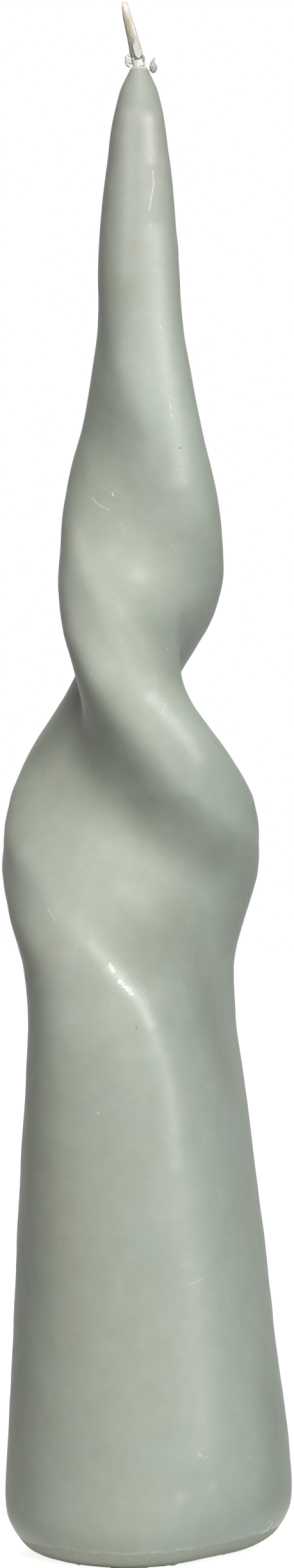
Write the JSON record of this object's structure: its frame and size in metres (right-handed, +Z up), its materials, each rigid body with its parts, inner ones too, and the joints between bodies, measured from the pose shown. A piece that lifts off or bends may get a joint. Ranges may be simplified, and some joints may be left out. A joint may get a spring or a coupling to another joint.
{
  "type": "twisted taper candle",
  "caption": "Tall free-standing wax candle, tapering from a broad round foot to a pointed top, wrung through its middle into a spiral, with a short wax-coated wick.",
  "frame": {"origin": "middle of the candle's footprint on the surface that it stands on, at the bottom centre of its box", "axes": "+Z up along the candle, front towards -Y, and the stub of the wick leans towards -X"},
  "size_m": [0.0548, 0.0541, 0.2907],
  "materials": {
    "wax": "satin sage-green wax, through-coloured, slightly translucent",
    "wick_cotton": "braided cotton, waxed",
    "wick_coat": "thin glossy translucent wax over cotton",
    "wax_residue": "crumbly whitish wax",
    "loose_wax": "thin translucent wax"
  },
  "bodies": {
    "root": {"wax_body": "wax", "wick": "wick_cotton", "wick_wax_coat": "wick_coat", "wax_collar": "wax_residue", "front_flake": "loose_wax", "side_fin": "loose_wax", "left_crumb": "wax_residue", "right_drop": "loose_wax"}
  },
  "joints": []
}
